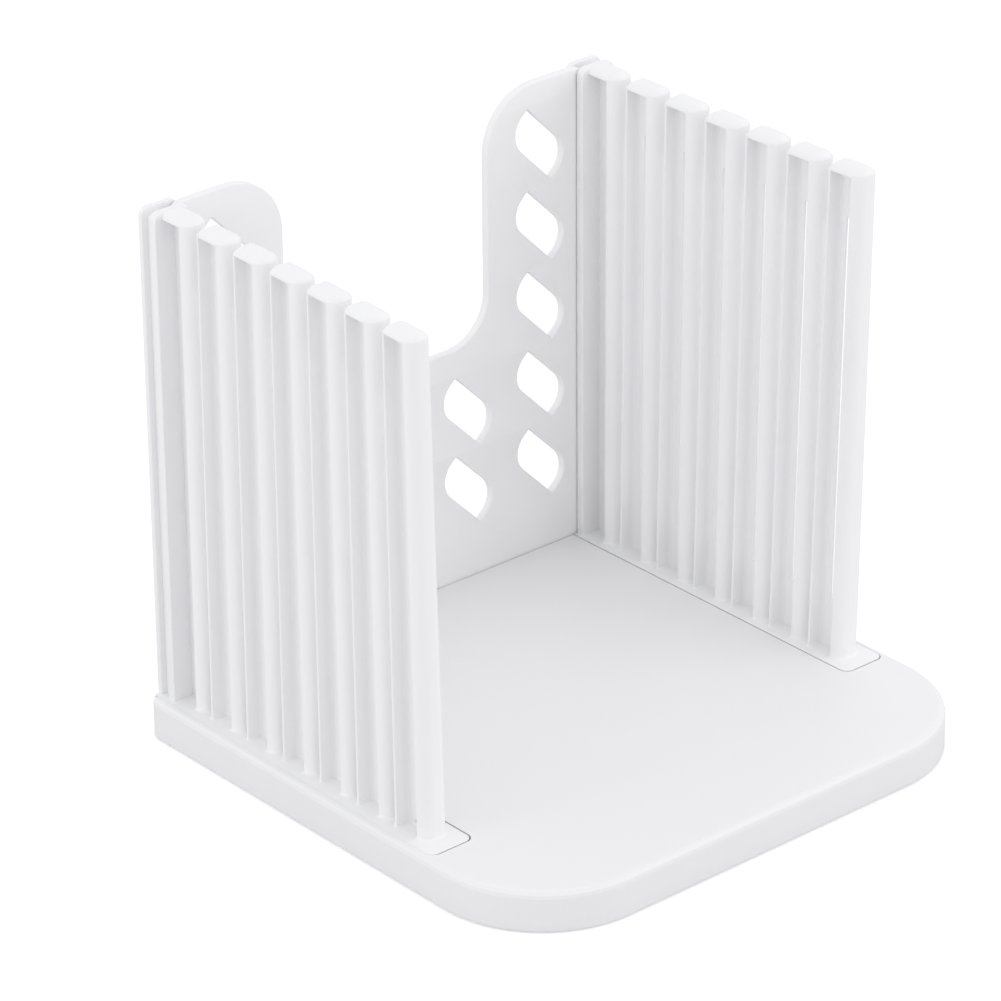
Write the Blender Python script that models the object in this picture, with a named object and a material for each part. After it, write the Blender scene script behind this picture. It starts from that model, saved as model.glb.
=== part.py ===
# Bread slicer guide: a board, two upright combs whose gaps guide the knife, and a rear plate with a U-shaped
# cut-out. The combs stand in recesses of the board, and the plate slides down between the combs' channels.
# Metres, +Z up, +X to the right and +Y to the rear. The origin is on the table, below the board's middle.

import math

import bmesh
import bpy
from mathutils import Matrix, Vector

for leftover in list(bpy.data.objects):
    bpy.data.objects.remove(leftover, do_unlink=True)

# Driving dimensions of the loaf and its slices
loaf_width = 0.1506
slice_pitch = 0.0166
knife_gap = 0.0027
bar_count = 7
comb_height = 0.1553

# Fits between the pieces, and how far a cutter or a joined piece runs past a surface
fit_gap = 0.0003
foot_gap = 0.0004
overrun = 0.002
relief = 0.0001

# How far a flat facet may fall inside the arc that it follows, and the smallest arc
facet_depth = 0.00004
least_radius = 0.00005

# The board
board_height = 0.0127
front_ledge = 0.0440
side_rim = 0.0023
rear_rim = 0.0010
front_corner_radius = 0.036
rear_corner_radius = 0.006
board_edge_round = 0.0020
board_wall = 0.0025
rib_thickness = 0.0016
pocket_limit = 0.0170
floor_skin = 0.0013
recess_depth = 0.0024
slot_depth = 0.0040

# The comb's foot, bars and channel
foot_width = 0.0150
foot_toe = 0.0062
foot_corner_radius = 0.0026
foot_rear_radius = 0.0010
bar_width = 0.0090
bar_front_radius = 0.0037
bar_rear_radius = 0.0004
post_depth = 0.0043
edge_radius = 0.0004
hollow_width = 0.0049
rim_thickness = 0.0009
rim_radius = 0.0003
lip_thickness = 0.0009
lip_depth = 0.0032
lip_fillet = 0.0012
cap_height = 0.0026
cap_round = 0.0022
window_sill = 0.0193
window_head = 0.0114
first_bar_depth = 0.0118
channel_width = 0.0128
channel_drop = 0.0008
channel_corner_radius = 0.0025
flange_thickness = 0.0027
rear_wall_thickness = 0.0018
spine_thickness = 0.0020
web_set_back = 0.0006

# The rear plate
plate_thickness = 0.0028
plate_drop = 0.0010
plate_corner_radius = 0.0060
u_floor_radius = 0.0150
u_lip_radius = 0.0190
leaf_round = 0.0075
leaf_outer_count = 5
leaf_inner_count = 2

# The cut-out and the leaf holes, as shares of the plate's half width and of the combs' height
u_half_width_share = 0.4905
u_floor_height_share = 0.4958
leaf_inner_column_share = 0.3834
leaf_outer_column_share = 0.7529
leaf_reach_share = 0.1605
leaf_lean_share = 0.0586
leaf_row_pitch_share = 0.1681
leaf_first_row_share = 0.1900
leaf_rise_share = 0.0792
leaf_dip_share = 0.0328

# The rubber pads under the board
pad_radius = 0.0060
pad_height = 0.0020
pad_stand = 0.0006
pad_inset = 0.0150

# Sizes and places that follow from the driving dimensions
bar_depth = slice_pitch - knife_gap
comb_offset = (loaf_width + bar_width) / 2
foot_length = (
    rear_wall_thickness + 2 * fit_gap + plate_thickness + flange_thickness
    + first_bar_depth + (bar_count - 1) * slice_pitch + foot_toe
)
board_width = 2 * (comb_offset + foot_width / 2 + foot_gap + side_rim)
board_depth = front_ledge + foot_gap + foot_length + foot_gap + rear_rim
board_bottom = pad_stand
board_top = board_height
comb_top = board_top + comb_height
recess_front = -board_depth / 2 + front_ledge
recess_rear = board_depth / 2 - rear_rim
foot_front = recess_front + foot_gap
foot_rear = recess_rear - foot_gap
recess_floor = board_top - recess_depth
foot_bottom = recess_floor + fit_gap
foot_middle = (foot_bottom + board_top) / 2
rear_wall_front = foot_rear - rear_wall_thickness
plate_rear = rear_wall_front - fit_gap
plate_front = plate_rear - plate_thickness
flange_rear = plate_front - fit_gap
flange_front = flange_rear - flange_thickness
first_bar_front = flange_front - first_bar_depth
channel_top = comb_top - channel_drop
cap_bottom = comb_top - cap_height
into_cap = cap_bottom + (cap_height - cap_round) / 2
slot_floor = board_top - slot_depth
plate_half_width = comb_offset - spine_thickness / 2 - fit_gap
plate_bottom = slot_floor + fit_gap
plate_top = comb_top - plate_drop
u_half_width = u_half_width_share * plate_half_width
u_floor = board_top + u_floor_height_share * comb_height
leaf_inner_column = leaf_inner_column_share * plate_half_width
leaf_outer_column = leaf_outer_column_share * plate_half_width
leaf_reach = leaf_reach_share * plate_half_width
leaf_lean = leaf_lean_share * plate_half_width
leaf_row_pitch = leaf_row_pitch_share * comb_height
leaf_first_row = board_top + leaf_first_row_share * comb_height
leaf_rise = leaf_rise_share * comb_height
leaf_dip = leaf_dip_share * comb_height
socket_ceiling = pad_height + fit_gap
pocket_ceiling = slot_floor - floor_skin


def outline(corners, inset=0):
    """Points round a closed outline of corners (x, y, radius), drawn in by inset, each corner an arc."""
    points = []
    for index, (x, y, radius) in enumerate(corners):
        corner = Vector((x, y))
        back = (Vector(corners[index - 1][:2]) - corner).normalized()
        ahead = (Vector(corners[(index + 1) % len(corners)][:2]) - corner).normalized()
        bisector = (back + ahead).normalized()
        half_angle = back.angle(ahead) / 2
        convex = ahead.cross(back) > 0
        if radius == 0:
            side = 1 if convex else -1
            points.append(corner + bisector * (side * inset / math.sin(half_angle)))
            continue
        turn = math.pi - 2 * half_angle
        steps = max(2, math.ceil(turn / (2 * math.acos(1 - facet_depth / radius))))
        if convex:
            rest = max(radius - inset, least_radius)
            centre = corner + bisector * ((rest + inset) / math.sin(half_angle))
        else:
            rest = radius + inset
            centre = corner + bisector * (radius / math.sin(half_angle))
            turn = -turn
        spoke = -bisector * rest
        for step in range(steps + 1):
            points.append(centre + Matrix.Rotation(turn * (step / steps - 1 / 2), 2) @ spoke)
    return points


def box_corners(left, right, front, rear, front_radius, rear_radius, left_rear_radius=None):
    """Corners of a rectangle seen from above, counter-clockwise from its front left corner."""
    if left_rear_radius is None:
        left_rear_radius = rear_radius
    return [
        (left, front, front_radius),
        (right, front, front_radius),
        (right, rear, rear_radius),
        (left, rear, left_rear_radius),
    ]


def level(points, height):
    """The outline laid flat at a height."""
    return [(x, y, height) for x, y in points]


def upright(points, depth):
    """The outline stood up, facing the front, at a depth."""
    return [(x, depth, z) for x, z in points]


def loft(shape, rings):
    """Adds the closed body that runs through rings of equal length, with a flat face on each end."""
    loops = [[shape.verts.new(point) for point in ring] for ring in rings]
    for lower, upper in zip(loops, loops[1:]):
        for index in range(len(lower)):
            shape.faces.new((lower[index - 1], lower[index], upper[index], upper[index - 1]))
    shape.faces.new(reversed(loops[0]))
    shape.faces.new(loops[-1])


def column(shape, corners, low, high, top_round=0, steps=3):
    """Adds an upright prism, its top edge rounded if asked."""
    rings = [level(outline(corners), low)]
    if top_round == 0:
        rings.append(level(outline(corners), high))
    else:
        for step in range(steps + 1):
            angle = math.pi / 2 * step / steps
            inset = top_round * (1 - math.cos(angle))
            rings.append(level(outline(corners, inset), high - top_round * (1 - math.sin(angle))))
    loft(shape, rings)


def panel(shape, corners, front, rear):
    """Adds a standing sheet of an upright outline."""
    loft(shape, [upright(outline(corners), rear), upright(outline(corners), front)])


def round_corners(radius):
    """Corners of a square whose rounding makes it a circle about zero, a little short of the full radius."""
    rounding = radius - least_radius
    return box_corners(-radius, radius, -radius, radius, rounding, rounding)


def plastic(name, colour, roughness):
    """A smooth opaque finish."""
    finish = bpy.data.materials.new(name)
    finish.use_nodes = True
    surface = finish.node_tree.nodes["Principled BSDF"]
    surface.inputs["Base Color"].default_value = (*colour, 1)
    surface.inputs["Roughness"].default_value = roughness
    surface.inputs["Metallic"].default_value = 0
    finish.diffuse_color = (*colour, 1)
    return finish


def piece(name, shape, finish=None):
    """Turns a bmesh into an object; one without a finish is a guide that only cuts or joins."""
    bmesh.ops.recalc_face_normals(shape, faces=shape.faces)
    mesh = bpy.data.meshes.new(name)
    shape.to_mesh(mesh)
    shape.free()
    made = bpy.data.objects.new(name, mesh)
    bpy.context.collection.objects.link(made)
    if finish is None:
        made.hide_render = True
        made.display_type = "WIRE"
    else:
        mesh.materials.append(finish)
        mesh.shade_smooth()
        mesh.set_sharp_from_angle(angle=math.radians(30))
    return made


def combine(body, guide, operation):
    """Joins a guide to a body, or cuts it from the body, in the body's own frame."""
    guide.parent = body
    step = body.modifiers.new(guide.name, "BOOLEAN")
    step.operation = operation
    step.solver = "EXACT"
    step.object = guide


board_corners = box_corners(
    -board_width / 2, board_width / 2, -board_depth / 2, board_depth / 2, front_corner_radius, rear_corner_radius
)
pad_places = {
    "front_left": (-board_width / 2 + front_corner_radius, -board_depth / 2 + front_corner_radius),
    "front_right": (board_width / 2 - front_corner_radius, -board_depth / 2 + front_corner_radius),
    "rear_left": (-board_width / 2 + pad_inset, board_depth / 2 - pad_inset),
    "rear_right": (board_width / 2 - pad_inset, board_depth / 2 - pad_inset),
}


def within_board(x, y):
    """Whether a point under the board keeps the wall's thickness to the round front corners."""
    beyond_x = abs(x) - (board_width / 2 - front_corner_radius)
    beyond_y = -y - (board_depth / 2 - front_corner_radius)
    if beyond_x <= 0 or beyond_y <= 0:
        return True
    return math.hypot(beyond_x, beyond_y) <= front_corner_radius - board_wall


def near_pad(left, right, front, rear):
    """Whether a pocket would cut into the boss round a pad's socket."""
    for pad_x, pad_y in pad_places.values():
        nearest_x = min(max(pad_x, left), right)
        nearest_y = min(max(pad_y, front), rear)
        if math.hypot(pad_x - nearest_x, pad_y - nearest_y) < pad_radius + fit_gap + rib_thickness:
            return True
    return False


def pocket_spans(length):
    """Low and high ends of the equal pockets between ribs that fill a length inside the outer wall."""
    room = length - 2 * board_wall + rib_thickness
    count = math.ceil(room / (pocket_limit + rib_thickness))
    pitch = room / count
    start = -length / 2 + board_wall
    return [(start + index * pitch, start + (index + 1) * pitch - rib_thickness) for index in range(count)]


def make_board(finish):
    """The board: ribbed underneath, with a recess for each foot and a cross slot for the plate."""
    shape = bmesh.new()
    column(shape, board_corners, board_bottom, board_top, board_edge_round)
    board = piece("base_board", shape, finish)

    pockets = bmesh.new()
    for left, right in pocket_spans(board_width):
        for front, rear in pocket_spans(board_depth):
            ends = [(x, y) for x in (left, right) for y in (front, rear)]
            if all(within_board(x, y) for x, y in ends) and not near_pad(left, right, front, rear):
                column(pockets, box_corners(left, right, front, rear, 0, 0), -overrun, pocket_ceiling)
    combine(board, piece("board_pockets", pockets), "DIFFERENCE")

    sockets = bmesh.new()
    for pad_x, pad_y in pad_places.values():
        rim = [(x + pad_x, y + pad_y, radius) for x, y, radius in round_corners(pad_radius + fit_gap)]
        column(sockets, rim, -overrun, socket_ceiling)
    combine(board, piece("board_sockets", sockets), "DIFFERENCE")

    recesses = bmesh.new()
    half_recess = foot_width / 2 + foot_gap
    for middle in (-comb_offset, comb_offset):
        sides = box_corners(
            middle - half_recess, middle + half_recess, recess_front, recess_rear,
            foot_corner_radius + foot_gap, foot_rear_radius + foot_gap,
        )
        column(recesses, sides, recess_floor, board_top + overrun)
    combine(board, piece("board_recesses", recesses), "DIFFERENCE")

    slot = bmesh.new()
    half_slot = plate_half_width + fit_gap
    sides = box_corners(-half_slot, half_slot, plate_front - fit_gap, plate_rear + fit_gap, 0, 0)
    column(slot, sides, slot_floor, board_top + overrun)
    combine(board, piece("board_slot", slot), "DIFFERENCE")


def make_comb(name, middle, inner_side, finish):
    """One comb, in its own frame about the middle of its bars; inner_side is the side that faces the loaf."""
    half_bar = bar_width / 2
    lip_left = -half_bar + hollow_width
    lip_right = lip_left + lip_thickness
    web_left = lip_left + relief
    web_right = half_bar - web_set_back

    foot = bmesh.new()
    sides = box_corners(
        -foot_width / 2, foot_width / 2, foot_front, foot_rear, foot_corner_radius, foot_rear_radius
    )
    column(foot, sides, foot_bottom, board_top)
    comb = piece(name, foot, finish)
    comb.location.x = middle

    passage = bmesh.new()
    slot_start = spine_thickness / 2 - relief
    slot_end = foot_width / 2 + overrun
    sides = box_corners(
        min(inner_side * slot_start, inner_side * slot_end), max(inner_side * slot_start, inner_side * slot_end),
        flange_rear - relief, rear_wall_front + relief, 0, 0,
    )
    column(passage, sides, foot_bottom - overrun, board_top + overrun)
    combine(comb, piece(name + "_plate_passage", passage), "DIFFERENCE")

    posts = bmesh.new()
    rims = bmesh.new()
    caps = bmesh.new()
    webs = bmesh.new()
    for index in range(bar_count):
        front = first_bar_front - index * slice_pitch
        rear = front + bar_depth
        post_rear = front + post_depth
        sides = box_corners(
            -half_bar + relief, half_bar - relief, front + relief, post_rear,
            bar_front_radius, bar_rear_radius, edge_radius,
        )
        column(posts, sides, foot_middle, into_cap)
        web_front = post_rear - web_set_back - bar_rear_radius
        if index == 0:
            cap_rear = flange_front + flange_thickness / 2
            sides = box_corners(web_left, web_right, web_front, cap_rear, 0, 0)
            column(webs, sides, foot_middle, into_cap)
        else:
            cap_rear = rear
            rim = [
                (-half_bar + relief, rear - rim_thickness, rim_radius),
                (lip_left, rear - rim_thickness, lip_fillet),
                (lip_left, rear - lip_depth, rim_radius),
                (lip_right, rear - lip_depth, rim_radius),
                (lip_right, rear - relief, rim_radius),
                (-half_bar + relief, rear - relief, rim_radius),
            ]
            column(rims, rim, foot_middle, into_cap)
            sides = box_corners(web_left, web_right, web_front, rear - web_set_back, 0, 0)
            column(webs, sides, foot_middle, board_top + window_sill)
            column(webs, sides, cap_bottom - window_head, into_cap)
        sides = box_corners(
            -half_bar, half_bar, front, cap_rear, bar_front_radius, bar_rear_radius, bar_rear_radius
        )
        column(caps, sides, cap_bottom, comb_top, cap_round)
    combine(comb, piece(name + "_posts", posts), "UNION")
    combine(comb, piece(name + "_rims", rims), "UNION")
    combine(comb, piece(name + "_caps", caps), "UNION")

    walls = bmesh.new()
    half_channel = channel_width / 2
    face = [
        (-half_channel, foot_middle, 0),
        (half_channel, foot_middle, 0),
        (half_channel, channel_top, channel_corner_radius),
        (-half_channel, channel_top, channel_corner_radius),
    ]
    panel(walls, face, flange_front, flange_rear)
    panel(walls, face, rear_wall_front, foot_rear - relief)
    combine(comb, piece(name + "_channel_walls", walls), "UNION")

    spine = bmesh.new()
    sides = box_corners(
        -spine_thickness / 2, spine_thickness / 2,
        flange_rear - flange_thickness / 2, rear_wall_front + rear_wall_thickness / 2, 0, 0,
    )
    column(spine, sides, foot_middle, channel_top - channel_corner_radius)
    combine(comb, piece(name + "_spine", spine), "UNION")
    combine(comb, piece(name + "_webs", webs), "UNION")


def make_plate(finish):
    """The rear plate, in its own frame about its middle depth."""
    half_thickness = plate_thickness / 2
    shape = bmesh.new()
    face = [
        (-plate_half_width, plate_bottom, 0),
        (plate_half_width, plate_bottom, 0),
        (plate_half_width, plate_top, plate_corner_radius),
        (u_half_width, plate_top, u_lip_radius),
        (u_half_width, u_floor, u_floor_radius),
        (-u_half_width, u_floor, u_floor_radius),
        (-u_half_width, plate_top, u_lip_radius),
        (-plate_half_width, plate_top, plate_corner_radius),
    ]
    panel(shape, face, -half_thickness, half_thickness)
    plate = piece("rear_plate", shape, finish)
    plate.location.y = (plate_front + plate_rear) / 2

    leaves = bmesh.new()
    columns = {
        -leaf_outer_column: leaf_outer_count,
        -leaf_inner_column: leaf_inner_count,
        0: leaf_inner_count,
        leaf_inner_column: leaf_inner_count,
        leaf_outer_column: leaf_outer_count,
    }
    for x, rows in columns.items():
        for row in range(rows):
            z = leaf_first_row + row * leaf_row_pitch
            leaf = [
                (x - leaf_lean, z + leaf_rise, 0),
                (x - leaf_reach, z + leaf_dip, leaf_round),
                (x + leaf_lean, z - leaf_rise, 0),
                (x + leaf_reach, z - leaf_dip, leaf_round),
            ]
            panel(leaves, leaf, -half_thickness - overrun, half_thickness + overrun)
    combine(plate, piece("plate_leaves", leaves), "DIFFERENCE")


def make_pads(finish):
    """Four rubber pads, pressed into their sockets and standing a little proud of the board."""
    for place, (pad_x, pad_y) in pad_places.items():
        shape = bmesh.new()
        column(shape, round_corners(pad_radius), 0, pad_height)
        pad = piece("pad_" + place, shape, finish)
        pad.location = (pad_x, pad_y, 0)


white_plastic_board = plastic("board_plastic", (0.86, 0.86, 0.87), 0.38)
white_plastic_comb = plastic("comb_plastic", (0.85, 0.85, 0.86), 0.34)
white_plastic_plate = plastic("plate_plastic", (0.85, 0.85, 0.86), 0.36)
grey_rubber = plastic("pad_rubber", (0.55, 0.55, 0.56), 0.8)

make_board(white_plastic_board)
make_comb("left_comb", -comb_offset, 1, white_plastic_comb)
make_comb("right_comb", comb_offset, -1, white_plastic_comb)
make_plate(white_plastic_plate)
make_pads(grey_rubber)
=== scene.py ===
"""Bread slicer guide: the look of its white satin mouldings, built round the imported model."""

import math

import bmesh
import bpy
from mathutils import Matrix, Vector


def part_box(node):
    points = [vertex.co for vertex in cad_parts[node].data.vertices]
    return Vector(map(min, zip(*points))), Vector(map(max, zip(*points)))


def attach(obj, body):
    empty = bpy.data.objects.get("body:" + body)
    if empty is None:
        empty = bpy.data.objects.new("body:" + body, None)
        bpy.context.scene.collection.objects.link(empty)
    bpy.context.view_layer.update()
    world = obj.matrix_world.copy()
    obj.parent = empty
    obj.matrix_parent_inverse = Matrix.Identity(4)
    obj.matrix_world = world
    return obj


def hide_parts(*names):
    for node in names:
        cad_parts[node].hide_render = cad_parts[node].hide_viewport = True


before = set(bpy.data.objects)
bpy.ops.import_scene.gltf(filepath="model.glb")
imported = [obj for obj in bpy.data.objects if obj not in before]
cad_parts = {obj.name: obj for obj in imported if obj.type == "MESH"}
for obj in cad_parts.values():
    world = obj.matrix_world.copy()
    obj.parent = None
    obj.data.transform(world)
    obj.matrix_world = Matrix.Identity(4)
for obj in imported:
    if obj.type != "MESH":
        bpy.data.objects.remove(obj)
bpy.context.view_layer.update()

# The camera looks down from the front left, as in the photograph.
# Its pose and focal length come from the board's edges and the bars, for a square frame.
image_side_px = 1001
focal_px = 5268.3
centre_x_px = 454.24
centre_y_px = 584.86
camera_azimuth = math.radians(-40.17)
camera_elevation = math.radians(27.56)
camera_roll = math.radians(-0.763)
camera_target = Vector((0.0, -0.00565, 0.070))
camera_right = -0.03652
camera_up = -0.01494
camera_distance = 1.5045

camera_back = Vector((
    math.sin(camera_azimuth) * math.cos(camera_elevation),
    -math.cos(camera_azimuth) * math.cos(camera_elevation),
    math.sin(camera_elevation),
))
level_right = Vector((math.cos(camera_azimuth), math.sin(camera_azimuth), 0))
level_up = camera_back.cross(level_right)
turned_right = math.cos(camera_roll) * level_right + math.sin(camera_roll) * level_up
turned_up = math.cos(camera_roll) * level_up - math.sin(camera_roll) * level_right
camera_place = (
    camera_target + turned_right * camera_right + turned_up * camera_up + camera_back * camera_distance
)
studio_camera = bpy.data.cameras.new("studio_camera")
studio_camera.sensor_width = 36
studio_camera.sensor_fit = "HORIZONTAL"
studio_camera.lens = focal_px * studio_camera.sensor_width / image_side_px
studio_camera.shift_x = (image_side_px / 2 - centre_x_px) / image_side_px
studio_camera.shift_y = (centre_y_px - image_side_px / 2) / image_side_px
studio_camera.clip_start = 0.01
studio_camera.clip_end = 20
camera_object = bpy.data.objects.new("studio_camera", studio_camera)
bpy.context.collection.objects.link(camera_object)
camera_turn = Matrix((turned_right, turned_up, camera_back)).transposed()
camera_object.matrix_world = Matrix.Translation(camera_place) @ camera_turn.to_4x4()
bpy.context.scene.camera = camera_object
bpy.context.scene.view_settings.view_transform = "Standard"

# The room: an even white surround that the camera, gloss and glass see as pure white,
# and that lights the plastic from all sides at a plain level.
room_light_colour = (0.985, 0.985, 1.0, 1)
room_light_strength = 0.93

surround = bpy.data.worlds.new("white_surround")
surround.use_nodes = True
room = surround.node_tree
room.nodes.clear()
room_out = room.nodes.new("ShaderNodeOutputWorld")
room_mix = room.nodes.new("ShaderNodeMixShader")
room_light = room.nodes.new("ShaderNodeBackground")
room_light.inputs["Color"].default_value = room_light_colour
room_light.inputs["Strength"].default_value = room_light_strength
room_seen = room.nodes.new("ShaderNodeBackground")
room_seen.inputs["Color"].default_value = (1, 1, 1, 1)
room_seen.inputs["Strength"].default_value = 1.0
room_path = room.nodes.new("ShaderNodeLightPath")
seen_or_glossy = room.nodes.new("ShaderNodeMath")
seen_or_glossy.operation = "MAXIMUM"
seen_at_all = room.nodes.new("ShaderNodeMath")
seen_at_all.operation = "MAXIMUM"
room.links.new(room_path.outputs["Is Camera Ray"], seen_or_glossy.inputs[0])
room.links.new(room_path.outputs["Is Glossy Ray"], seen_or_glossy.inputs[1])
room.links.new(seen_or_glossy.outputs[0], seen_at_all.inputs[0])
room.links.new(room_path.outputs["Is Transmission Ray"], seen_at_all.inputs[1])
room.links.new(seen_at_all.outputs[0], room_mix.inputs["Fac"])
room.links.new(room_light.outputs[0], room_mix.inputs[1])
room.links.new(room_seen.outputs[0], room_mix.inputs[2])
room.links.new(room_mix.outputs[0], room_out.inputs["Surface"])
bpy.context.scene.world = surround

# The soft boxes of the studio: one at the right front and a weak one at the left, both aimed at the
# middle of the guide. Each has a place, a side and a power.
light_aim = Vector((0, 0, 0.07))
soft_boxes = {
    "right_front_box": ((0.80, -0.95, 0.66), 0.9, 2.4),
    "left_box": ((-1.15, 0.25, 0.30), 0.5, 1.3),
}
for box_name, (box_place, box_side, box_power) in soft_boxes.items():
    lamp = bpy.data.lights.new(box_name, "AREA")
    lamp.shape = "SQUARE"
    lamp.size = box_side
    lamp.energy = box_power
    lamp_object = bpy.data.objects.new(box_name, lamp)
    bpy.context.collection.objects.link(lamp_object)
    lamp_object.location = box_place
    lamp_object.rotation_euler = (light_aim - Vector(box_place)).to_track_quat("-Z", "Y").to_euler()

# The floor: a plain pale sheet, white to the camera but for the soft shadow the guide drops on it.
# A faint glow that only the camera sees takes the sheet up to the white of the room.
floor_reach = 3.0
floor_colour = (0.74, 0.74, 0.75, 1)
floor_glow_strength = 0.42

floor_mesh = bpy.data.meshes.new("studio_floor")
floor_corners = [
    (-floor_reach, -floor_reach, 0), (floor_reach, -floor_reach, 0),
    (floor_reach, floor_reach, 0), (-floor_reach, floor_reach, 0),
]
floor_mesh.from_pydata(floor_corners, [], [(0, 1, 2, 3)])
studio_floor = bpy.data.objects.new("studio_floor", floor_mesh)
bpy.context.collection.objects.link(studio_floor)
floor_white = bpy.data.materials.new("floor_white")
floor_white.use_nodes = True
floor_tree = floor_white.node_tree
floor_tree.nodes.clear()
floor_out = floor_tree.nodes.new("ShaderNodeOutputMaterial")
floor_matt = floor_tree.nodes.new("ShaderNodeBsdfDiffuse")
floor_matt.inputs["Color"].default_value = floor_colour
floor_glow = floor_tree.nodes.new("ShaderNodeEmission")
floor_glow.inputs["Color"].default_value = (1, 1, 1, 1)
floor_glow.inputs["Strength"].default_value = floor_glow_strength
floor_sum = floor_tree.nodes.new("ShaderNodeAddShader")
floor_mix = floor_tree.nodes.new("ShaderNodeMixShader")
floor_path = floor_tree.nodes.new("ShaderNodeLightPath")
floor_tree.links.new(floor_matt.outputs[0], floor_sum.inputs[0])
floor_tree.links.new(floor_glow.outputs[0], floor_sum.inputs[1])
floor_tree.links.new(floor_path.outputs["Is Camera Ray"], floor_mix.inputs["Fac"])
floor_tree.links.new(floor_matt.outputs[0], floor_mix.inputs[1])
floor_tree.links.new(floor_sum.outputs[0], floor_mix.inputs[2])
floor_tree.links.new(floor_mix.outputs[0], floor_out.inputs["Surface"])
floor_mesh.materials.append(floor_white)

# The board: one white ABS moulding, ribbed below, with a soft rolled top edge, a shallow recess for each
# comb's foot and a cross slot for the plate. It is injection moulded, and its skin shows the fine spark
# texture of the mould with a faint unevenness of tone and gloss. The other mouldings have the same skin.
moulded_skin = bpy.data.node_groups.new("moulded_skin", "ShaderNodeTree")
moulded_skin.interface.new_socket(name="Tone", in_out="INPUT", socket_type="NodeSocketColor")
for skin_input in ("Tone spread", "Gloss", "Gloss spread", "Grain size", "Grain depth"):
    moulded_skin.interface.new_socket(name=skin_input, in_out="INPUT", socket_type="NodeSocketFloat")
moulded_skin.interface.new_socket(name="Colour", in_out="OUTPUT", socket_type="NodeSocketColor")
moulded_skin.interface.new_socket(name="Roughness", in_out="OUTPUT", socket_type="NodeSocketFloat")
moulded_skin.interface.new_socket(name="Normal", in_out="OUTPUT", socket_type="NodeSocketVector")
skin_nodes = moulded_skin.nodes
skin_links = moulded_skin.links
skin_in = skin_nodes.new("NodeGroupInput")
skin_out = skin_nodes.new("NodeGroupOutput")
skin_place = skin_nodes.new("ShaderNodeTexCoord")


def skin_marks(scale, detail, roughness, distortion):
    """Soft marks over the plastic, with values on both sides of zero."""
    marks = skin_nodes.new("ShaderNodeTexNoise")
    marks.inputs["Scale"].default_value = scale
    marks.inputs["Detail"].default_value = detail
    marks.inputs["Roughness"].default_value = roughness
    marks.inputs["Distortion"].default_value = distortion
    centred = skin_nodes.new("ShaderNodeMath")
    centred.operation = "SUBTRACT"
    centred.inputs[1].default_value = 0.5
    skin_links.new(skin_place.outputs["Object"], marks.inputs["Vector"])
    skin_links.new(marks.outputs["Fac"], centred.inputs[0])
    return centred.outputs[0]


flow_marks = skin_marks(scale=9.0, detail=3.0, roughness=0.55, distortion=0.0)
tone_change = skin_nodes.new("ShaderNodeMath")
tone_change.operation = "MULTIPLY_ADD"
tone_change.inputs[2].default_value = 1.0
tone_scaled = skin_nodes.new("ShaderNodeVectorMath")
tone_scaled.operation = "SCALE"
skin_links.new(flow_marks, tone_change.inputs[0])
skin_links.new(skin_in.outputs["Tone spread"], tone_change.inputs[1])
skin_links.new(skin_in.outputs["Tone"], tone_scaled.inputs[0])
skin_links.new(tone_change.outputs[0], tone_scaled.inputs["Scale"])
skin_links.new(tone_scaled.outputs[0], skin_out.inputs["Colour"])

handling_marks = skin_marks(scale=42.0, detail=4.0, roughness=0.5, distortion=0.6)
gloss_change = skin_nodes.new("ShaderNodeMath")
gloss_change.operation = "MULTIPLY_ADD"
skin_links.new(handling_marks, gloss_change.inputs[0])
skin_links.new(skin_in.outputs["Gloss spread"], gloss_change.inputs[1])
skin_links.new(skin_in.outputs["Gloss"], gloss_change.inputs[2])
skin_links.new(gloss_change.outputs[0], skin_out.inputs["Roughness"])

spark_grain = skin_nodes.new("ShaderNodeTexNoise")
spark_grain.inputs["Detail"].default_value = 2.0
skin_relief = skin_nodes.new("ShaderNodeBump")
skin_relief.inputs["Strength"].default_value = 1.0
skin_links.new(skin_place.outputs["Object"], spark_grain.inputs["Vector"])
skin_links.new(skin_in.outputs["Grain size"], spark_grain.inputs["Scale"])
skin_links.new(skin_in.outputs["Grain depth"], skin_relief.inputs["Distance"])
skin_links.new(spark_grain.outputs["Fac"], skin_relief.inputs["Height"])
skin_links.new(skin_relief.outputs["Normal"], skin_out.inputs["Normal"])


def moulded_plastic(name, tone, tone_spread, gloss, gloss_spread, grain_size, grain_depth):
    """A satin moulded material of one tone, with the skin of its mould."""
    plastic = bpy.data.materials.new(name)
    plastic.use_nodes = True
    tree = plastic.node_tree
    surface = tree.nodes["Principled BSDF"]
    surface.inputs["IOR"].default_value = 1.53
    surface.inputs["Subsurface Weight"].default_value = 0.0
    skin = tree.nodes.new("ShaderNodeGroup")
    skin.node_tree = moulded_skin
    skin.inputs["Tone"].default_value = (*tone, 1)
    skin.inputs["Tone spread"].default_value = tone_spread
    skin.inputs["Gloss"].default_value = gloss
    skin.inputs["Gloss spread"].default_value = gloss_spread
    skin.inputs["Grain size"].default_value = grain_size
    skin.inputs["Grain depth"].default_value = grain_depth
    tree.links.new(skin.outputs["Colour"], surface.inputs["Base Color"])
    tree.links.new(skin.outputs["Roughness"], surface.inputs["Roughness"])
    tree.links.new(skin.outputs["Normal"], surface.inputs["Normal"])
    return plastic


board_plastic = moulded_plastic(
    "board_plastic_look", tone=(0.895, 0.895, 0.905), tone_spread=0.016,
    gloss=0.42, gloss_spread=0.05, grain_size=2600, grain_depth=0.000012,
)
board_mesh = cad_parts["base_board"].data
board_mesh.materials.clear()
board_mesh.materials.append(board_plastic)
board_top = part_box("base_board")[1][2]

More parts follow.
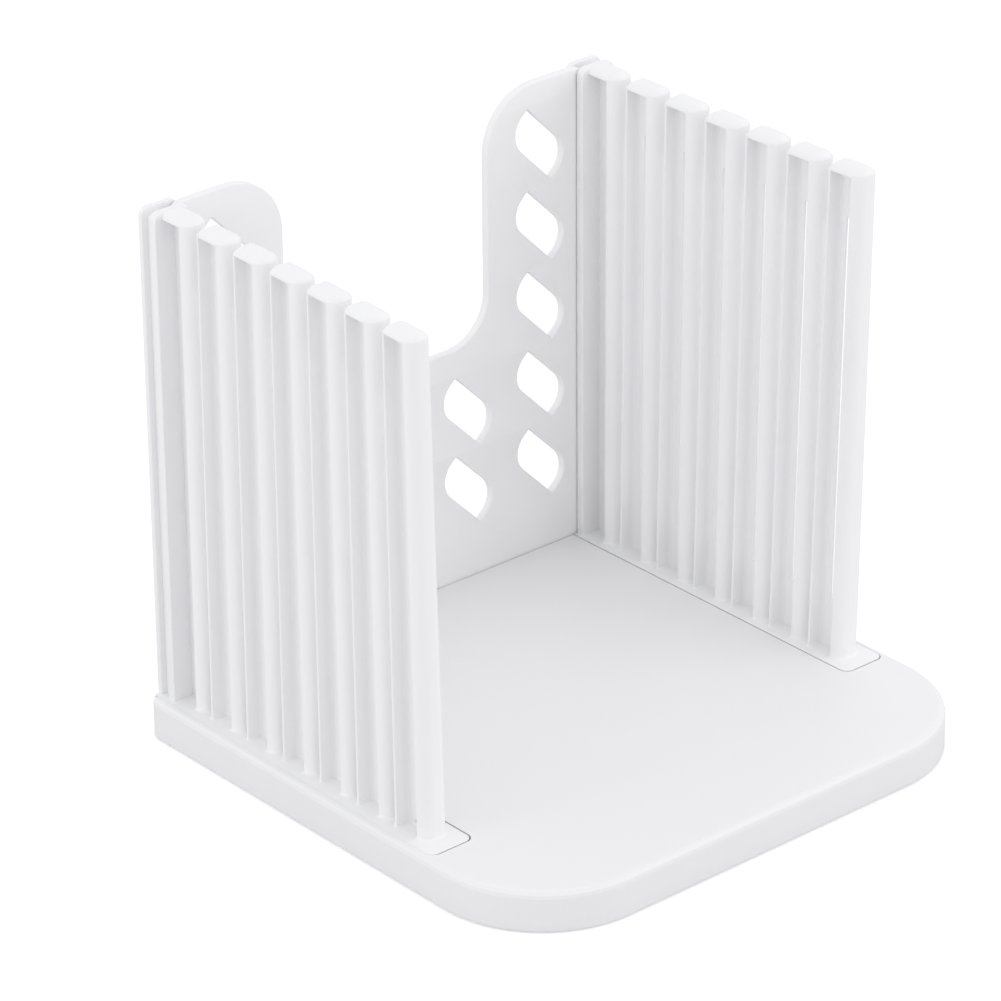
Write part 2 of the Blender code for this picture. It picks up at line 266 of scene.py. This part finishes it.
# The combs: each is one ABS moulding that stands in the board, a foot with seven upright bars and, behind
# them, the channel for the plate's end. A bar is a rounded post and a rear rim with a slit of light between
# them, it has a domed cap, and it runs into the foot with a small fillet.
comb_plastic = moulded_plastic(
    "comb_plastic_look", tone=(0.93, 0.93, 0.938), tone_spread=0.014,
    gloss=0.40, gloss_spread=0.05, grain_size=2900, grain_depth=0.000009,
)

# The row of bars, and each bar's post
slice_pitch = 0.0166
knife_gap = 0.0027
bar_count = 7
bar_width = 0.0090
bar_nose_radius = 0.0037
bar_edge_radius = 0.0006
bar_draft_share = 0.10
post_depth = 0.0043
post_fillet = 0.0010

# The rear rim with its lip, and the window that the webs leave open
hollow_width = 0.0049
rim_thickness = 0.0011
rim_edge_radius = 0.0003
rim_corner_radius = 0.0007
rim_fillet = 0.0006
lip_thickness = 0.0009
lip_depth = 0.0042
lip_fillet = 0.0012
web_set_back = 0.0006
window_sill = 0.0155
window_head = 0.0150

# The outward lean of the free front end, which grows as this power of the distance from the channel
front_splay = 0.0032
splay_growth = 1.3

# The caps
cap_height = 0.0026
cap_crown_width = 0.0006
cap_end_round = 0.0024
cap_rear_radius = 0.0012

# The foot
foot_toe = 0.0062
foot_corner_radius = 0.0026
foot_rear_radius = 0.0010
foot_edge_round = 0.00015
foot_outer_spread = 0.00030
foot_front_set_back = 0.00015
foot_inner_set_back = 0.00010
foot_side_depth = 0.00025
foot_undercut = 0.0006

# The channel: a front flange and a rear wall, joined by a spine, and the short last bar before them
rear_bar_depth = 0.0118
channel_width = 0.0128
channel_drop = 0.0008
channel_corner_radius = 0.0025
channel_edge_round = 0.0004
flange_thickness = 0.0027
rear_wall_thickness = 0.0018
spine_inner = 0.0010
spine_outer = 0.0044

# How finely the arcs are drawn, and the hair's breadth by which faces that would meet are kept apart
facet_depth = 0.000012
least_radius = 0.00004
fillet_steps = 5
foot_edge_steps = 5
sheet_edge_steps = 4
sill_edge_steps = 3
cap_steps = 10
hair = 0.00002
smooth_below = math.radians(40)

bar_depth = slice_pitch - knife_gap
half_bar = bar_width / 2
lip_left = -half_bar + hollow_width
lip_right = lip_left + lip_thickness
comb_low, comb_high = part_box("left_comb")
foot_front, foot_rear = comb_low[1], comb_high[1]
foot_bottom, comb_top = comb_low[2], comb_high[2]
foot_half_width = (comb_high[0] - comb_low[0]) / 2
foot_middle = (foot_bottom + board_top) / 2
cap_bottom = comb_top - cap_height
into_cap = cap_bottom + cap_height / 4
first_bar_front = foot_front + foot_toe
last_bar_front = first_bar_front + (bar_count - 1) * slice_pitch
flange_front = last_bar_front + rear_bar_depth
flange_rear = flange_front + flange_thickness
rear_wall_front = foot_rear - rear_wall_thickness
channel_top = comb_top - channel_drop


def outline(corners, inset=0.0):
    """Points round a closed outline of corners (x, y, radius), drawn in by inset, each corner an arc."""
    points = []
    for index, (x, y, radius) in enumerate(corners):
        corner = Vector((x, y))
        back = (Vector(corners[index - 1][:2]) - corner).normalized()
        ahead = (Vector(corners[(index + 1) % len(corners)][:2]) - corner).normalized()
        bisector = (back + ahead).normalized()
        half_angle = back.angle(ahead) / 2
        convex = ahead.cross(back) > 0
        turn = math.pi - 2 * half_angle
        steps = max(3, math.ceil(turn / (2 * math.acos(1 - facet_depth / radius))))
        if convex:
            rest = max(radius - inset, least_radius)
            centre = corner + bisector * ((rest + inset) / math.sin(half_angle))
        else:
            rest = radius + inset
            centre = corner + bisector * (radius / math.sin(half_angle))
            turn = -turn
        spoke = -bisector * rest
        for step in range(steps + 1):
            points.append(centre + Matrix.Rotation(turn * (step / steps - 1 / 2), 2) @ spoke)
    return points


def mirrored(corners):
    """The same outline seen from the other side."""
    return [(-x, y, radius) for x, y, radius in reversed(corners)]


def box_corners(left, right, front, rear, front_radius, rear_radius):
    """Corners of a rectangle seen from above, counter-clockwise from its front left corner."""
    return [
        (left, front, front_radius), (right, front, front_radius),
        (right, rear, rear_radius), (left, rear, rear_radius),
    ]


def loft(shape, rings):
    """Adds the closed body that runs through rings of equal length, with a face on each end."""
    loops = [[shape.verts.new(point) for point in ring] for ring in rings]
    for lower, upper in zip(loops, loops[1:]):
        for index in range(len(lower)):
            shape.faces.new((lower[index - 1], lower[index], upper[index], upper[index - 1]))
    shape.faces.new(reversed(loops[0]))
    shape.faces.new(loops[-1])


def rolled_edge(radius, steps):
    """Inset and depth below the top, from the side face up and over a rounded edge."""
    angles = [math.pi / 2 * step / steps for step in range(steps + 1)]
    return [(radius * (1 - math.cos(angle)), radius * (1 - math.sin(angle))) for angle in angles]


def upright_column(shape, corners, low, high, top=((0.0, 0.0),), fillet=0.0, base_inset=0.0):
    """Adds a column. Its top follows (inset, drop) pairs, and a fillet flares where it meets the foot."""
    levels = [(base_inset - fillet, low)]
    if fillet:
        for step in range(fillet_steps + 1):
            angle = math.pi / 2 * step / fillet_steps
            rise = fillet * (1 - math.cos(angle))
            levels.append((fillet * (math.sin(angle) - 1), board_top - hair + rise))
    levels += [(inset, high - drop) for inset, drop in top]
    loft(shape, [[(x, y, z) for x, y in outline(corners, inset)] for inset, z in levels])


def standing_sheet(shape, corners, front, rear, edge_round):
    """Adds an upright sheet that faces the front, with both of its faces' edges rounded."""
    edge = rolled_edge(edge_round, sheet_edge_steps)
    levels = [(inset, front + depth) for inset, depth in reversed(edge)]
    levels += [(inset, rear - depth) for inset, depth in edge]
    loft(shape, [[(x, y, z) for x, z in outline(corners, inset)] for inset, y in reversed(levels)])


def domed_cap(shape, corners, low, high):
    """Adds a cap that is a barrel vault across the bar, with rounded ends."""
    base = outline(corners)
    middle_y = (corners[0][1] + corners[2][1]) / 2
    half_length = (corners[2][1] - corners[0][1]) / 2
    rings = []
    for step in range(cap_steps + 1):
        angle = math.pi / 2 * step / cap_steps
        across = 1 - (1 - math.cos(angle)) * (1 - cap_crown_width / bar_width)
        along = 1 - (1 - math.cos(angle)) * cap_end_round / half_length
        z = low + (high - low) * math.sin(angle)
        rings.append([(x * across, middle_y + (y - middle_y) * along, z) for x, y in base])
    loft(shape, rings)


def height_share(z):
    """How far up the comb a height is, from 0 at the board's top to 1 at the caps."""
    return max(0.0, (z - board_top) / (comb_top - board_top))


def splay(shape, side):
    """Leans the comb's free front end outwards towards its top, as the thin moulding does."""
    for corner in shape.verts:
        reach = max(0.0, (flange_front - corner.co.y) / (flange_front - first_bar_front))
        corner.co.x += side * front_splay * height_share(corner.co.z) * reach ** splay_growth


def add_bar(shape, front, cap_rear, with_rim):
    """One bar, narrowing upwards: the post, the webs behind it, its rear rim and the domed cap."""
    first_vertex = len(shape.verts)
    rear = front + bar_depth
    post_rear = front + post_depth
    post = box_corners(-half_bar, half_bar, front, post_rear, bar_nose_radius, bar_edge_radius)
    upright_column(shape, post, foot_middle, into_cap, fillet=post_fillet)
    web_left, web_right = lip_left + hair, half_bar - web_set_back
    web_front = post_rear - web_set_back - bar_edge_radius
    if with_rim:
        rim = [
            (-half_bar, rear - rim_thickness, rim_edge_radius),
            (lip_left, rear - rim_thickness, lip_fillet),
            (lip_left, rear - lip_depth, rim_edge_radius),
            (lip_right, rear - lip_depth, rim_edge_radius),
            (lip_right, rear, rim_edge_radius),
            (-half_bar, rear, rim_corner_radius),
        ]
        upright_column(shape, rim, foot_middle, into_cap, fillet=rim_fillet)
        web = box_corners(web_left, web_right, web_front, rear - web_set_back, hair, hair)
        sill_edge = rolled_edge(bar_edge_radius, sill_edge_steps)
        upright_column(shape, web, foot_middle, board_top + window_sill, top=sill_edge)
        upright_column(shape, web, cap_bottom - window_head, into_cap)
    else:
        web = box_corners(web_left, web_right, web_front, cap_rear, hair, hair)
        upright_column(shape, web, foot_middle, into_cap)
    cap = box_corners(
        -half_bar - hair, half_bar + hair, front - hair, cap_rear,
        bar_nose_radius + hair, cap_rear_radius,
    )
    domed_cap(shape, cap, cap_bottom, comb_top)
    for corner in list(shape.verts)[first_vertex:]:
        narrowing = 1 - bar_draft_share * height_share(corner.co.z)
        corner.co.x *= narrowing
        if with_rim:
            corner.co.y = front + (corner.co.y - front) * narrowing


def object_from(name, shape):
    """Turns a bmesh into an object in the scene, its normals facing outwards."""
    bmesh.ops.recalc_face_normals(shape, faces=shape.faces)
    mesh = bpy.data.meshes.new(name)
    shape.to_mesh(mesh)
    shape.free()
    made = bpy.data.objects.new(name, mesh)
    bpy.context.collection.objects.link(made)
    return made


def evaluated_mesh(made):
    """The object's mesh with its modifiers done; the object itself is used up."""
    graph = bpy.context.evaluated_depsgraph_get()
    mesh = bpy.data.meshes.new_from_object(made.evaluated_get(graph))
    bpy.data.objects.remove(made, do_unlink=True)
    return mesh


def finished_piece(name, shape, plastic, node, body):
    """Makes a moulding of its bmesh, smooth but for its real edges, that stands for its CAD node."""
    made = object_from(name, shape)
    made.data.materials.append(plastic)
    made.data.shade_smooth()
    made.data.set_sharp_from_angle(angle=smooth_below)
    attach(made, body)
    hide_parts(node)
    return made


# The row of like bars is one bar set out along the foot at the slices' pitch.
bar_row = bpy.data.node_groups.new("bar_row", "GeometryNodeTree")
row_ends = bar_row.interface
row_ends.new_socket(name="Bar", in_out="INPUT", socket_type="NodeSocketGeometry")
row_count = row_ends.new_socket(name="Bar count", in_out="INPUT", socket_type="NodeSocketInt")
row_pitch = row_ends.new_socket(name="Slice pitch", in_out="INPUT", socket_type="NodeSocketFloat")
row_skin = row_ends.new_socket(name="Plastic", in_out="INPUT", socket_type="NodeSocketMaterial")
row_ends.new_socket(name="Bars", in_out="OUTPUT", socket_type="NodeSocketGeometry")
row_in = bar_row.nodes.new("NodeGroupInput")
row_out = bar_row.nodes.new("NodeGroupOutput")
row_step = bar_row.nodes.new("ShaderNodeCombineXYZ")
row_line = bar_row.nodes.new("GeometryNodeMeshLine")
row_line.mode = "OFFSET"
row_place = bar_row.nodes.new("GeometryNodeInstanceOnPoints")
row_real = bar_row.nodes.new("GeometryNodeRealizeInstances")
row_finish = bar_row.nodes.new("GeometryNodeSetMaterial")
bar_row.links.new(row_in.outputs["Slice pitch"], row_step.inputs["Y"])
bar_row.links.new(row_in.outputs["Bar count"], row_line.inputs["Count"])
bar_row.links.new(row_step.outputs[0], row_line.inputs["Offset"])
bar_row.links.new(row_line.outputs["Mesh"], row_place.inputs["Points"])
bar_row.links.new(row_in.outputs["Bar"], row_place.inputs["Instance"])
bar_row.links.new(row_place.outputs["Instances"], row_real.inputs["Geometry"])
bar_row.links.new(row_real.outputs["Geometry"], row_finish.inputs["Geometry"])
bar_row.links.new(row_in.outputs["Plastic"], row_finish.inputs["Material"])
bar_row.links.new(row_finish.outputs["Geometry"], row_out.inputs["Bars"])

single_bar = bmesh.new()
add_bar(single_bar, first_bar_front, first_bar_front + bar_depth, with_rim=True)
bar_object = object_from("single_bar", single_bar)
setting_out = bar_object.modifiers.new("bar_row", "NODES")
setting_out.node_group = bar_row
setting_out[row_count.identifier] = bar_count - 1
setting_out[row_pitch.identifier] = slice_pitch
setting_out[row_skin.identifier] = comb_plastic
bars_mesh = evaluated_mesh(bar_object)

# The foot leaves a passage for the plate's end, and the two walls of the channel have one outline.
channel_face = [
    (-channel_width / 2, foot_middle, least_radius),
    (channel_width / 2, foot_middle, least_radius),
    (channel_width / 2, channel_top, channel_corner_radius),
    (-channel_width / 2, channel_top, channel_corner_radius),
]
foot_outer = -foot_half_width - foot_outer_spread
foot_inner = foot_half_width - foot_inner_set_back
foot_with_passage = [
    (foot_outer, foot_front + foot_front_set_back, foot_corner_radius),
    (foot_inner, foot_front + foot_front_set_back, foot_corner_radius),
    (foot_inner, flange_rear, bar_edge_radius),
    (spine_inner, flange_rear, foot_undercut),
    (spine_inner, rear_wall_front, foot_undercut),
    (foot_inner, rear_wall_front, bar_edge_radius),
    (foot_inner, foot_rear, foot_rear_radius),
    (foot_outer, foot_rear, foot_rear_radius),
]
foot_side = [(foot_undercut, foot_side_depth * 2), (0.0, foot_side_depth)]
foot_side += rolled_edge(foot_edge_round, foot_edge_steps)
spine = box_corners(
    -spine_outer, spine_inner - hair,
    flange_rear - flange_thickness / 2, rear_wall_front + rear_wall_thickness / 2, hair, hair,
)
for comb_name, comb_body in (("left_comb", "left_side"), ("right_comb", "right_side")):
    low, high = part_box(comb_name)
    comb = bmesh.new()
    if comb_name == "left_comb":
        foot, back, outwards = foot_with_passage, spine, -1
    else:
        foot, back, outwards = mirrored(foot_with_passage), mirrored(spine), 1
    upright_column(comb, foot, foot_bottom, board_top, top=foot_side, base_inset=foot_undercut)
    add_bar(comb, last_bar_front, flange_front + flange_thickness / 2, with_rim=False)
    standing_sheet(comb, channel_face, flange_front, flange_rear, channel_edge_round)
    standing_sheet(comb, channel_face, rear_wall_front, foot_rear - hair, channel_edge_round)
    upright_column(comb, back, foot_middle, channel_top - channel_corner_radius)
    comb.from_mesh(bars_mesh)
    splay(comb, outwards)
    bmesh.ops.translate(comb, verts=comb.verts, vec=((low[0] + high[0]) / 2, 0, 0))
    finished_piece(comb_name + "_moulding", comb, comb_plastic, comb_name, comb_body)

# The rear plate: one flat ABS sheet with rounded edges, a U-shaped cut-out with flared lips at its top,
# and rows of leaf-shaped holes. It slides down between the combs' channels into the board's slot.
plate_plastic = moulded_plastic(
    "plate_plastic_look", tone=(0.93, 0.93, 0.938), tone_spread=0.014,
    gloss=0.38, gloss_spread=0.05, grain_size=2600, grain_depth=0.000010,
)
plate_edge_round = 0.0004
plate_corner_radius = 0.0060
u_floor_radius = 0.0150
u_lip_radius = 0.0190
leaf_round = 0.0075
leaf_tip_radius = 0.0003
leaf_outer_count = 5
leaf_inner_count = 2

# The cut-out and the leaf holes, as shares of the plate's half width and of the combs' height
u_half_width_share = 0.4905
u_floor_height_share = 0.4958
leaf_inner_column_share = 0.3834
leaf_outer_column_share = 0.7529
leaf_reach_share = 0.1605
leaf_lean_share = 0.0586
leaf_rise_share = 0.0792
leaf_dip_share = 0.0328
leaf_row_pitch_share = 0.1681
leaf_first_row_share = 0.1900

plate_low, plate_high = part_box("rear_plate")
plate_half_width = plate_high[0]
plate_thickness = plate_high[1] - plate_low[1]
plate_middle = (plate_low[1] + plate_high[1]) / 2
comb_height = comb_top - board_top
u_half_width = u_half_width_share * plate_half_width
u_floor = board_top + u_floor_height_share * comb_height
leaf_reach = leaf_reach_share * plate_half_width
leaf_lean = leaf_lean_share * plate_half_width
leaf_rise = leaf_rise_share * comb_height
leaf_dip = leaf_dip_share * comb_height
leaf_row_pitch = leaf_row_pitch_share * comb_height
leaf_first_row = board_top + leaf_first_row_share * comb_height
leaf_rows_by_column_share = {
    -leaf_outer_column_share: leaf_outer_count,
    -leaf_inner_column_share: leaf_inner_count,
    0.0: leaf_inner_count,
    leaf_inner_column_share: leaf_inner_count,
    leaf_outer_column_share: leaf_outer_count,
}

plate_outline = [
    (-plate_half_width, plate_low[2], bar_edge_radius),
    (plate_half_width, plate_low[2], bar_edge_radius),
    (plate_half_width, plate_high[2], plate_corner_radius),
    (u_half_width, plate_high[2], u_lip_radius),
    (u_half_width, u_floor, u_floor_radius),
    (-u_half_width, u_floor, u_floor_radius),
    (-u_half_width, plate_high[2], u_lip_radius),
    (-plate_half_width, plate_high[2], plate_corner_radius),
]
sheet_outlines = [outline(plate_outline, plate_edge_round)]
for column_share, row_total in leaf_rows_by_column_share.items():
    leaf_x = column_share * plate_half_width
    for row in range(row_total):
        leaf_z = leaf_first_row + row * leaf_row_pitch
        leaf = [
            (leaf_x - leaf_lean, leaf_z + leaf_rise, leaf_tip_radius),
            (leaf_x - leaf_reach, leaf_z + leaf_dip, leaf_round),
            (leaf_x + leaf_lean, leaf_z - leaf_rise, leaf_tip_radius),
            (leaf_x + leaf_reach, leaf_z - leaf_dip, leaf_round),
        ]
        sheet_outlines.append(outline(leaf, -plate_edge_round))

# A flat filled curve gives the sheet its thickness and its rounded edges, and is then stood upright.
plate_profile = bpy.data.curves.new("plate_profile", "CURVE")
plate_profile.dimensions = "2D"
plate_profile.fill_mode = "BOTH"
plate_profile.extrude = plate_thickness / 2 - plate_edge_round
plate_profile.bevel_depth = plate_edge_round
plate_profile.bevel_resolution = 2
for points in sheet_outlines:
    spline = plate_profile.splines.new("POLY")
    spline.points.add(len(points) - 1)
    for spot, (x, z) in zip(spline.points, points):
        spot.co = (x, z, 0, 1)
    spline.use_cyclic_u = True
plate_curve = bpy.data.objects.new("plate_profile", plate_profile)
bpy.context.collection.objects.link(plate_curve)
plate = bmesh.new()
plate.from_mesh(evaluated_mesh(plate_curve))
bmesh.ops.remove_doubles(plate, verts=plate.verts, dist=hair / 4)
upright = Matrix((
    (1, 0, 0, 0),
    (0, 0, -1, plate_middle),
    (0, 1, 0, 0),
    (0, 0, 0, 1),
))
bmesh.ops.transform(plate, matrix=upright, verts=plate.verts)
finished_piece("rear_plate_moulding", plate, plate_plastic, "rear_plate", "back")

# The pads: four round feet of grey rubber, pressed into sockets under the board so that it doesn't
# slip. The rubber is matt, with a fine dry grain.
pad_rubber = moulded_plastic(
    "pad_rubber_look", tone=(0.50, 0.50, 0.51), tone_spread=0.10,
    gloss=0.82, gloss_spread=0.10, grain_size=1900, grain_depth=0.000030,
)
for pad_place in ("front_left", "front_right", "rear_left", "rear_right"):
    pad_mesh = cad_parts["pad_" + pad_place].data
    pad_mesh.materials.clear()
    pad_mesh.materials.append(pad_rubber)
